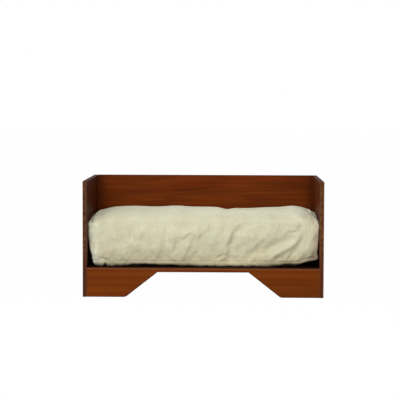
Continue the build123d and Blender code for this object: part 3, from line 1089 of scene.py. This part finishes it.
def build_mesh(name, points, faces, places=None):
    mesh = bpy.data.meshes.new(name)
    mesh.from_pydata(points.tolist(), [], faces.tolist())
    if places is not None:
        layer = mesh.uv_layers.new(name="panel")
        layer.data.foreach_set("uv", places.reshape(-1).astype(np.float32))
    mesh.polygons.foreach_set("use_smooth", [True] * len(mesh.polygons))
    mesh.update()
    return mesh


def blurred(field, passes, axes=(0, 1), wrap=False):
    """A grid of vectors, smoothed along its rows, its columns or both."""
    for _ in range(passes):
        for axis in axes:
            if axis == 1 and wrap:
                before, after = np.roll(field, 1, 1), np.roll(field, -1, 1)
            else:
                first = field.take([0], axis)
                last = field.take([-1], axis)
                size = field.shape[axis]
                before = np.concatenate([first, field.take(range(size - 1), axis)], axis)
                after = np.concatenate([field.take(range(1, size), axis), last], axis)
            field = (before + 2 * field + after) / 4
    return field


# The cloth run, and how much of its wrinkles the finished cushion shows
cloth_cell = 0.0075
cloth_frames = 22
cloth_cap = 0.010
cloth_settings = {
    "quality": 7,
    "mass": 0.25,
    "tension_stiffness": 18,
    "compression_stiffness": 12,
    "shear_stiffness": 6,
    "bending_stiffness": 0.6,
    "tension_damping": 12,
    "compression_damping": 12,
    "use_pressure": True,
    "uniform_pressure_force": 3.2,
    "shrink_min": -0.055,
    "pin_stiffness": 1.0,
}
even_passes = 110
top_wrinkle_share = 0.35
wrinkle_share = 0.8
fold_share = 1.45


def sewn_cloth():
    """Inflates the sewn panels, which are cut a little too large, and gives the wrinkles."""
    a_count = 2 * round(half_length / cloth_cell) + 1
    b_count = 2 * round(half_depth / cloth_cell) + 1
    t_count = round(boxing_height / cloth_cell) + 1
    panels = Panels(
        np.linspace(-1, 1, a_count), np.linspace(-1, 1, b_count), np.linspace(0, 1, t_count)
    )
    start = panels.points()
    faces, _ = panels.faces()
    mesh = build_mesh("cloth_draft", start, faces)
    draft = bpy.data.objects.new("cloth_draft", mesh)
    scene.collection.objects.link(draft)
    held = draft.vertex_groups.new(name="held")
    rows, columns = panels.top.shape[:2]
    number = np.arange(rows * columns).reshape(rows, columns)
    seam = np.concatenate([number[panels.ring], number[panels.ring] + rows * columns])
    held.add([int(point) for point in seam], 1.0, "REPLACE")
    cloth = draft.modifiers.new("cloth", "CLOTH")
    cloth.settings.vertex_group_mass = "held"
    for name, setting in cloth_settings.items():
        setattr(cloth.settings, name, setting)
    cloth.settings.effector_weights.gravity = 0
    cloth.collision_settings.use_collision = False
    cloth.point_cache.frame_start = 1
    cloth.point_cache.frame_end = cloth_frames
    for step in range(1, cloth_frames + 1):
        scene.frame_set(step)
    settled = draft.evaluated_get(bpy.context.evaluated_depsgraph_get())
    ended = np.zeros(len(start) * 3, np.float32)
    settled.data.vertices.foreach_get("co", ended)
    move = ended.reshape(-1, 3).astype(float) - start
    bpy.data.objects.remove(draft)
    scene.frame_set(1)
    length = np.linalg.norm(move, axis=1, keepdims=True)
    move *= np.tanh(length / cloth_cap) * cloth_cap / np.maximum(length, 1e-9)
    before = Panels(panels.a, panels.b, panels.t)
    panels.take(start + move)
    fields = []
    # The even swelling is taken out again, so the form keeps its outline and the wrinkles stay
    end_gap, side_gap = seam_gaps(panels.a[:, None], panels.b[None, :])
    beside_front = smooth(end_gap - side_gap, -0.04, 0.04)[..., None]
    for name in ("top", "bottom"):
        field = getattr(panels, name) - getattr(before, name)
        along_front = blurred(field, even_passes, (0,))
        along_end = blurred(field, even_passes, (1,))
        swell = beside_front * along_front + (1 - beside_front) * along_end
        fields.append(field - swell)
    field = panels.band - before.band
    fields.append(field - blurred(field, even_passes, (1,), True))
    return panels, fields


def read_at(field, old_rows, old_columns, new_rows, new_columns, period=None):
    """Reads a grid of vectors at the places of another grid."""
    wide = np.empty((len(new_rows), field.shape[1], 3))
    for column in range(field.shape[1]):
        for axis in range(3):
            wide[:, column, axis] = np.interp(new_rows, old_rows, field[:, column, axis])
    full = np.empty((len(new_rows), len(new_columns), 3))
    for row in range(len(new_rows)):
        for axis in range(3):
            full[row, :, axis] = np.interp(
                new_columns, old_columns, wide[row, :, axis], period=period
            )
    return full


# The fine grid: its rows beside each seam, half the height of its boxing, and its other rows
seam_steps = (0.0016, 0.0036, 0.0062, 0.0095)
half_boxing = 0.072
rows_along = 205
rows_across = 101
rows_up = 31

# A seam across its line: the depth and half width of its valley, then the height of the ridge
# beside it, how far that lies from the seam, and its half width
high_seam = (0.00104, 0.0022, 0.00048, 0.0062, 0.0034)
low_seam = (0.0013, 0.0013, 0.0020, 0.0046, 0.0028)
left_end_depth = 0.007
right_end_depth = 0.0025
end_seam_width = 0.0045


def graded(count, half, steps):
    """Places from -1 to 1 that crowd together towards both ends, beside the seams."""
    near = np.array(steps) / half
    inner = np.linspace(-1 + near[-1], 1 - near[-1], count)
    return np.concatenate([[-1], -1 + near[:-1], inner, 1 - near[:-1][::-1], [1]])


# Folds of the front, drawn in x and z, and of the top, in x and y, both in millimetres:
# the points of the line, its half width and its height. The front's lines follow the lit side of
# a ridge or the shaded side of a dip, which lies above and to the left of its middle.
front_folds = (
    (((-39, 278), (-44, 240), (-57, 206)), 11, 2.4),
    (((-55, 208), (-68, 184), (-87, 147)), 9, 4.2),
    (((-50, 250), (-62, 230), (-80, 214)), 7, -3.0),
    (((-46, 254), (-82, 231)), 8, 3.2),
    (((-98, 216), (-104, 200), (-112, 174)), 12, -3.6),
    (((12, 268), (-27, 230)), 7, 3.0),
    (((-22, 262), (-34, 226)), 12, 3.0),
    (((-30, 240), (-52, 205), (-60, 172)), 9, -2.4),
    (((184, 285), (149, 275), (121, 252), (105, 222), (96, 194)), 10, -6.4),
    (((110, 228), (98, 198), (94, 166), (95, 138)), 12, -7.0),
    (((122, 216), (116, 172)), 22, -5.0),
    (((94, 282), (94, 238), (88, 208)), 7, 3.2),
    (((76, 278), (73, 238)), 7, -2.8),
    (((48, 147), (76, 160)), 6, -3.0),
    (((55, 141), (84, 150)), 5, 1.5),
    (((-228, 270), (-241, 246), (-254, 216)), 13, 4.0),
    (((-270, 286), (-273, 252), (-279, 222)), 8, -6.6),
    (((-286, 222), (-294, 196), (-304, 168)), 13, 2.3),
    (((-322, 214), (-326, 190)), 8, -2.2),
    (((-167, 224), (-171, 198), (-179, 168)), 11, 4.4),
    (((-145, 196), (-148, 176), (-150, 150)), 6, -3.0),
    (((-140, 206), (-137, 160)), 7, 2.4),
    (((-362, 285), (-384, 264), (-402, 244)), 9, 3.0),
    (((-126, 264), (-120, 210)), 13, 4.6),
    (((-147, 266), (-145, 226)), 7, -2.8),
    (((300, 274), (336, 266), (372, 262)), 4, -3.5),
    (((320, 243), (340, 246), (357, 250)), 5, -3.5),
    (((366, 273), (372, 270)), 4, -2.5),
    (((196, 170), (212, 182), (234, 195), (266, 211), (298, 225), (320, 240)), 19, -8.6),
    (((272, 258), (316, 240)), 17, -3.0),
    (((250, 158), (285, 178), (318, 196), (339, 211), (356, 239)), 9, 4.6),
    (((205, 152), (255, 160)), 12, 2.5),
    (((271, 144), (297, 161), (322, 175), (337, 187)), 8, -3.0),
    (((316, 147), (331, 162), (347, 175)), 6, -3.5),
    (((356, 148), (380, 184), (393, 214), (399, 250)), 14, 3.8),
    (((331, 172), (351, 198), (370, 230)), 9, -4.0),
    (((384, 158), (402, 192)), 14, 2.0),
    (((-374, 112), (-372, 124)), 4, -4.0),
    (((-395, 118), (-388, 122)), 12, 3.0),
    (((-356, 116), (-345, 121)), 11, 2.5),
    (((-392, 145), (-370, 135), (-345, 125)), 5, -4.6),
    (((20, 215), (40, 170)), 22, -2.0),
    (((152, 152), (181, 176), (212, 204), (232, 226)), 12, -4.4),
    (((-330, 240), (-300, 200), (-310, 160)), 20, -2.0),
)
top_folds = (
    (((110, -70), (150, -85), (210, -100)), 6, 2.2),
    (((120, -100), (165, -112), (215, -118)), 5, -2.0),
    (((90, -120), (130, -135), (170, -140)), 6, 1.8),
    (((150, -58), (205, -64)), 6, 1.8),
    (((80, -90), (110, -104)), 5, -1.6),
    (((416, -196), (411, -165), (412, -100), (402, 10)), 6, -2.5),
    (((-423, -202), (-424, -170), (-423, -135)), 4.5, -5.0),
    (((-380, -150), (-330, -130)), 14, 2.0),
    (((-60, -140), (20, -120)), 20, 1.5),
)


def drawn_line(points, steps=14):
    """A smooth line through the points given."""
    knots = np.array([points[0], *points, points[-1]], float) / 1000
    line = []
    for k in range(1, len(knots) - 2):
        p0, p1, p2, p3 = knots[k - 1 : k + 3]
        for s in np.linspace(0, 1, steps, endpoint=False):
            bend = (2 * p0 - 5 * p1 + 4 * p2 - p3) * s**2
            twist = (3 * p1 - p0 - 3 * p2 + p3) * s**3
            line.append((2 * p1 + (p2 - p0) * s + bend + twist) / 2)
    line.append(knots[-1])
    return np.array(line)


def small_creases():
    """Short creases that the sewing leaves beside both front seams, and some over the front."""
    random = np.random.default_rng(31)
    folds = []
    for place in range(-395, 400, 15):
        x, length = place + random.uniform(-6, 6), random.uniform(12, 32)
        line = ((x, 276), (x + random.uniform(-8, 8), 276 - length))
        folds.append((line, random.uniform(4, 7), random.choice((-1, 1)) * random.uniform(0.5, 1.4)))
        x, length = place + random.uniform(-6, 6), random.uniform(14, 40)
        line = ((x, 138), (x + length * random.uniform(0.2, 1.0), 138 + length))
        folds.append((line, random.uniform(4.5, 8), random.choice((-1, 1)) * random.uniform(0.5, 1.4)))
    for _ in range(64):
        x, z = random.uniform(-400, 400), random.uniform(160, 255)
        turn, half = radians(random.uniform(20, 115)), random.uniform(8, 26)
        run, rise = cos(turn) * half, sin(turn) * half
        line = ((x - run, z - rise), (x + random.uniform(-5, 5), z), (x + run, z + rise))
        folds.append((line, random.uniform(5, 11), random.choice((-1, 1)) * random.uniform(0.6, 1.6)))
    return folds


def fold_height(flat, folds, shaded_side=(0, 0)):
    """How far the folds lift each point, from its two flat coordinates."""
    height = np.zeros(len(flat))
    for points, width, lift in folds:
        width = width / 1000
        line = drawn_line(points) - width * np.array(shaded_side)
        reach = 3 * width
        near = np.all((flat > line.min(0) - reach) & (flat < line.max(0) + reach), axis=1)
        gaps = np.linalg.norm(flat[near][:, None, :] - line[None, :, :], axis=2)
        share = gaps.argmin(1) / (len(line) - 1)
        fade = np.sin(pi * np.clip(share * 0.8 + 0.1, 0, 1)) ** 0.8
        height[near] += fold_share * lift / 1000 * fade * bell(gaps.min(1), width)
    return height


def outward(points, faces):
    """Smooth normals of a mesh."""
    one, two, three, four = (points[faces[:, k]] for k in range(4))
    normal = np.cross(three - one, four - two)
    total = np.zeros_like(points)
    for k in range(4):
        np.add.at(total, faces[:, k], normal)
    return total / np.maximum(np.linalg.norm(total, axis=1, keepdims=True), 1e-12)


def fine_panels():
    """The panels on a fine grid, with the wrinkles of the cloth run."""
    panels = Panels(
        graded(rows_along, half_length, seam_steps),
        graded(rows_across, half_depth, seam_steps),
        (graded(rows_up, half_boxing, seam_steps) + 1) / 2,
    )
    draft, (top, bottom, band) = sewn_cloth()
    top = read_at(top, draft.a, draft.b, panels.a, panels.b)
    bottom = read_at(bottom, draft.a, draft.b, panels.a, panels.b)
    band = read_at(band, draft.t, draft.around, panels.t, panels.around, 4)
    panels.top += top_wrinkle_share * blurred(top, 2)
    panels.bottom += wrinkle_share * blurred(bottom, 2)
    band = wrinkle_share * blurred(band, 2, (0, 1), True)
    away = 1 - smooth(panels.band[..., 1], rear_y, rear_y + 0.015)
    panels.band += band * away[..., None]
    panels.top[panels.ring] = panels.band[-1]
    panels.bottom[panels.ring] = panels.band[0]
    return panels


def folded(points, faces, on_top):
    """The points with the folds of the side that faces forwards and of the top."""
    normals = outward(points, faces)
    facing_front = smooth(-normals[:, 1], 0.15, 0.7)
    lift = fold_height(points[:, [0, 2]], front_folds, (-0.55, 0.9))
    lift = (lift + fold_height(points[:, [0, 2]], small_creases())) * facing_front
    lift += fold_height(points[:, [0, 1]], top_folds) * on_top
    return points + normals * lift[:, None]


def seam_form(gap, depth, width, ridge, place, ridge_width, ridge_share=1.0):
    """How far the cloth rises or sinks at a distance from its seam."""
    return ridge * ridge_share * bell(gap - place, ridge_width) - depth * bell(gap, width)


def sewn(panels, points, faces, under):
    """The points with their seams, each a narrow valley between two soft ridges of turned-in cloth."""
    x, y, z = points.T
    flat_gap = np.minimum(*seam_gaps(panels.a[:, None], panels.b[None, :])).reshape(-1)
    wall_gap = np.minimum(panels.t[1:-1], 1 - panels.t[1:-1]) * 2 * half_boxing
    gap = np.concatenate([flat_gap, flat_gap, np.repeat(wall_gap, len(panels.ring[0]))])
    high = seam_form(gap, *high_seam)
    low = seam_form(gap, *low_seam, under)
    valley = np.where(z > mid_z, high, low * smooth(x, -0.37, -0.25))
    at_end = smooth(np.abs(x), 0.385, 0.405) * (z > mid_z)
    at_end *= 1 - smooth(np.abs(y - middle_y), 0.185, 0.205)
    end_depth = np.where(x < 0, left_end_depth, right_end_depth)
    valley = valley * (1 - at_end) - end_depth * bell(gap, end_seam_width) * at_end
    return points + outward(points, faces) * valley[:, None]


def inside_frame(points):
    """The points kept clear of the deck, the walls and the seat of the zip."""
    x, y, z = points.T
    seat = (np.abs(x) < zip_half_length) & (y > rear_y) & (z > zip_low_z) & (z < zip_high_z)
    rear = np.where(seat, zip_plane_y - 0.0001, back_wall_y)
    kept = [np.clip(x, -side_wall_x, side_wall_x), np.minimum(y, rear), np.maximum(z, base_z)]
    return np.stack(kept, -1)


def make_cushion():
    """The finished cushion: its form, its wrinkles, its folds and its sewn seams."""
    panels = fine_panels()
    points = panels.points()
    faces, places = panels.faces()
    panel_size = len(panels.a) * len(panels.b)
    panel = np.arange(len(points)) // panel_size
    points = folded(points, faces, panel == 0)
    points = inside_frame(sewn(panels, points, faces, panel == 1))
    panels.take(points)
    cushion = bpy.data.objects.new("cushion", build_mesh("cushion", points, faces, places))
    cushion.data.materials.append(canvas_finish)
    scene.collection.objects.link(cushion)
    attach(cushion, "cushion")
    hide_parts("cushion_cover", "cushion_filling")
    return panels


cushion_panels = make_cushion()


# Stitches and zip teeth, which repeat along a line


# How many stitches show on each seam and how many loops on the zip: far fewer than a full row
stitches_on_seam = 10
loops_on_zip = 10
stitch_length = 0.0036
thread_width = 0.0007
stitch_lift = 0.0002
coil_wire = 0.00028


class Pattern(Tree):
    """A geometry tree with named sizes, run once on an object and made a plain mesh."""

    def __init__(self, name):
        self.group = bpy.data.node_groups.new(name, "GeometryNodeTree")
        super().__init__(self.group)
        self.add_socket("Geometry", "INPUT", "NodeSocketGeometry")
        self.add_socket("Geometry", "OUTPUT", "NodeSocketGeometry")
        self.entry = self.group.nodes.new("NodeGroupInput")

    def add_socket(self, name, way, kind):
        return self.group.interface.new_socket(name, in_out=way, socket_type=kind)

    def size(self, name):
        """A named length that the maker sets."""
        self.add_socket(name, "INPUT", "NodeSocketFloat")
        return Value(self, self.entry.outputs[name])

    def source(self):
        return Value(self, self.entry.outputs["Geometry"])

    def scaled(self, geometry, x, y, z):
        sizes = self.node("ShaderNodeCombineXYZ", {}, {0: x, 1: y, 2: z})
        return self.node("GeometryNodeTransform", {}, {"Geometry": geometry, "Scale": sizes})

    def end(self, geometry, material):
        """Makes the copies real, gives them their finish and ends the tree."""
        real = self.node("GeometryNodeRealizeInstances", {}, {0: geometry})
        inputs = {"Geometry": real, "Material": material}
        dressed = self.node("GeometryNodeSetMaterial", {}, inputs)
        self.node("NodeGroupOutput", {}, {0: dressed}, ())

    def run(self, name, line, sizes):
        """Runs the tree along a line of points and gives a plain mesh object."""
        mesh = bpy.data.meshes.new(name + "_line")
        edges = [(k, k + 1) for k in range(len(line) - 1)]
        mesh.from_pydata([tuple(point) for point in line], edges, [])
        guide = bpy.data.objects.new(name + "_line", mesh)
        scene.collection.objects.link(guide)
        modifier = guide.modifiers.new("pattern", "NODES")
        modifier.node_group = self.group
        for item in self.group.interface.items_tree:
            if item.in_out == "INPUT" and item.name in sizes:
                modifier[item.identifier] = sizes[item.name]
        graph = bpy.context.evaluated_depsgraph_get()
        plain = bpy.data.meshes.new_from_object(guide.evaluated_get(graph))
        guide.modifiers.clear()
        bpy.data.objects.remove(guide)
        plain.name = name
        plain.polygons.foreach_set("use_smooth", [True] * len(plain.polygons))
        piece = bpy.data.objects.new(name, plain)
        scene.collection.objects.link(piece)
        return piece


def spread_along(pattern, shape, count):
    """Copies of a shape, spread evenly from one end of the line to the other and turned along it."""
    curve = pattern.node("GeometryNodeMeshToCurve", {}, {0: pattern.source()})
    inputs = {"Curve": curve, "Count": count}
    spaced = pattern.node("GeometryNodeResampleCurve", {"mode": "COUNT"}, inputs)
    tangent = pattern.node("GeometryNodeInputTangent")
    turn = pattern.node("FunctionNodeAlignRotationToVector", {"axis": "X"}, {"Vector": tangent})
    inputs = {"Points": spaced, "Instance": shape, "Rotation": turn}
    return pattern.node("GeometryNodeInstanceOnPoints", {}, inputs)


def stitch_pattern():
    """Single short rounded stitches of thread, far apart along a seam."""
    pattern = Pattern("seam_stitches")
    length = pattern.size("Stitch length")
    width = pattern.size("Thread width")
    inputs = {"Segments": 6, "Rings": 5, "Radius": 0.5}
    bead = pattern.node("GeometryNodeMeshUVSphere", {}, inputs)
    shape = pattern.scaled(bead, length, width, width)
    pattern.end(spread_along(pattern, shape, stitches_on_seam), thread)
    return pattern


def tooth_pattern():
    """Single loops of the zip's nylon coil, far apart."""
    pattern = Pattern("coil_loops")
    width = pattern.size("Loop width")
    depth = pattern.size("Loop depth")
    wire = pattern.size("Wire radius")
    loop = pattern.node("GeometryNodeCurvePrimitiveCircle", {}, {"Resolution": 8, "Radius": 0.5})
    section = pattern.node("GeometryNodeCurvePrimitiveCircle", {}, {"Resolution": 5})
    inputs = {"Geometry": loop, "Rotation": (0, pi / 2, 0)}
    shaped = pattern.scaled(pattern.node("GeometryNodeTransform", {}, inputs), 1.0, depth, width)
    thin = pattern.scaled(section, wire, wire, wire)
    inputs = {"Curve": shaped, "Profile Curve": thin}
    tube = pattern.node("GeometryNodeCurveToMesh", {}, inputs)
    pattern.end(spread_along(pattern, tube, loops_on_zip), nylon_finish)
    return pattern


def make_stitches():
    """The stitches in the valley of each seam."""
    pattern = stitch_pattern()
    sizes = {"Stitch length": stitch_length, "Thread width": thread_width}
    points = cushion_panels.points()
    faces, _ = cushion_panels.faces()
    normals = outward(points, faces)
    rows, columns = cushion_panels.top.shape[:2]
    number = np.arange(rows * columns).reshape(rows, columns)[cushion_panels.ring]
    for name, shift in (("top_seam_stitches", 0), ("bottom_seam_stitches", rows * columns)):
        ring = np.append(number, number[0]) + shift
        line = points[ring] + normals[ring] * stitch_lift
        row = pattern.run(name, line, sizes)
        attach(row, "cushion")


def make_teeth():
    """The loops that stand for the coil of the zip."""
    low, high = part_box("zipper_coil")
    middle = (low + high) / 2
    line = [(low.x + coil_wire, middle.y, middle.z), (high.x - coil_wire, middle.y, middle.z)]
    sizes = {
        "Loop width": high.z - low.z - 2 * coil_wire,
        "Loop depth": high.y - low.y - 2 * coil_wire,
        "Wire radius": coil_wire,
    }
    teeth = tooth_pattern().run("zip_teeth", line, sizes)
    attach(teeth, "cushion")
    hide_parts("zipper_coil")


make_stitches()
make_teeth()
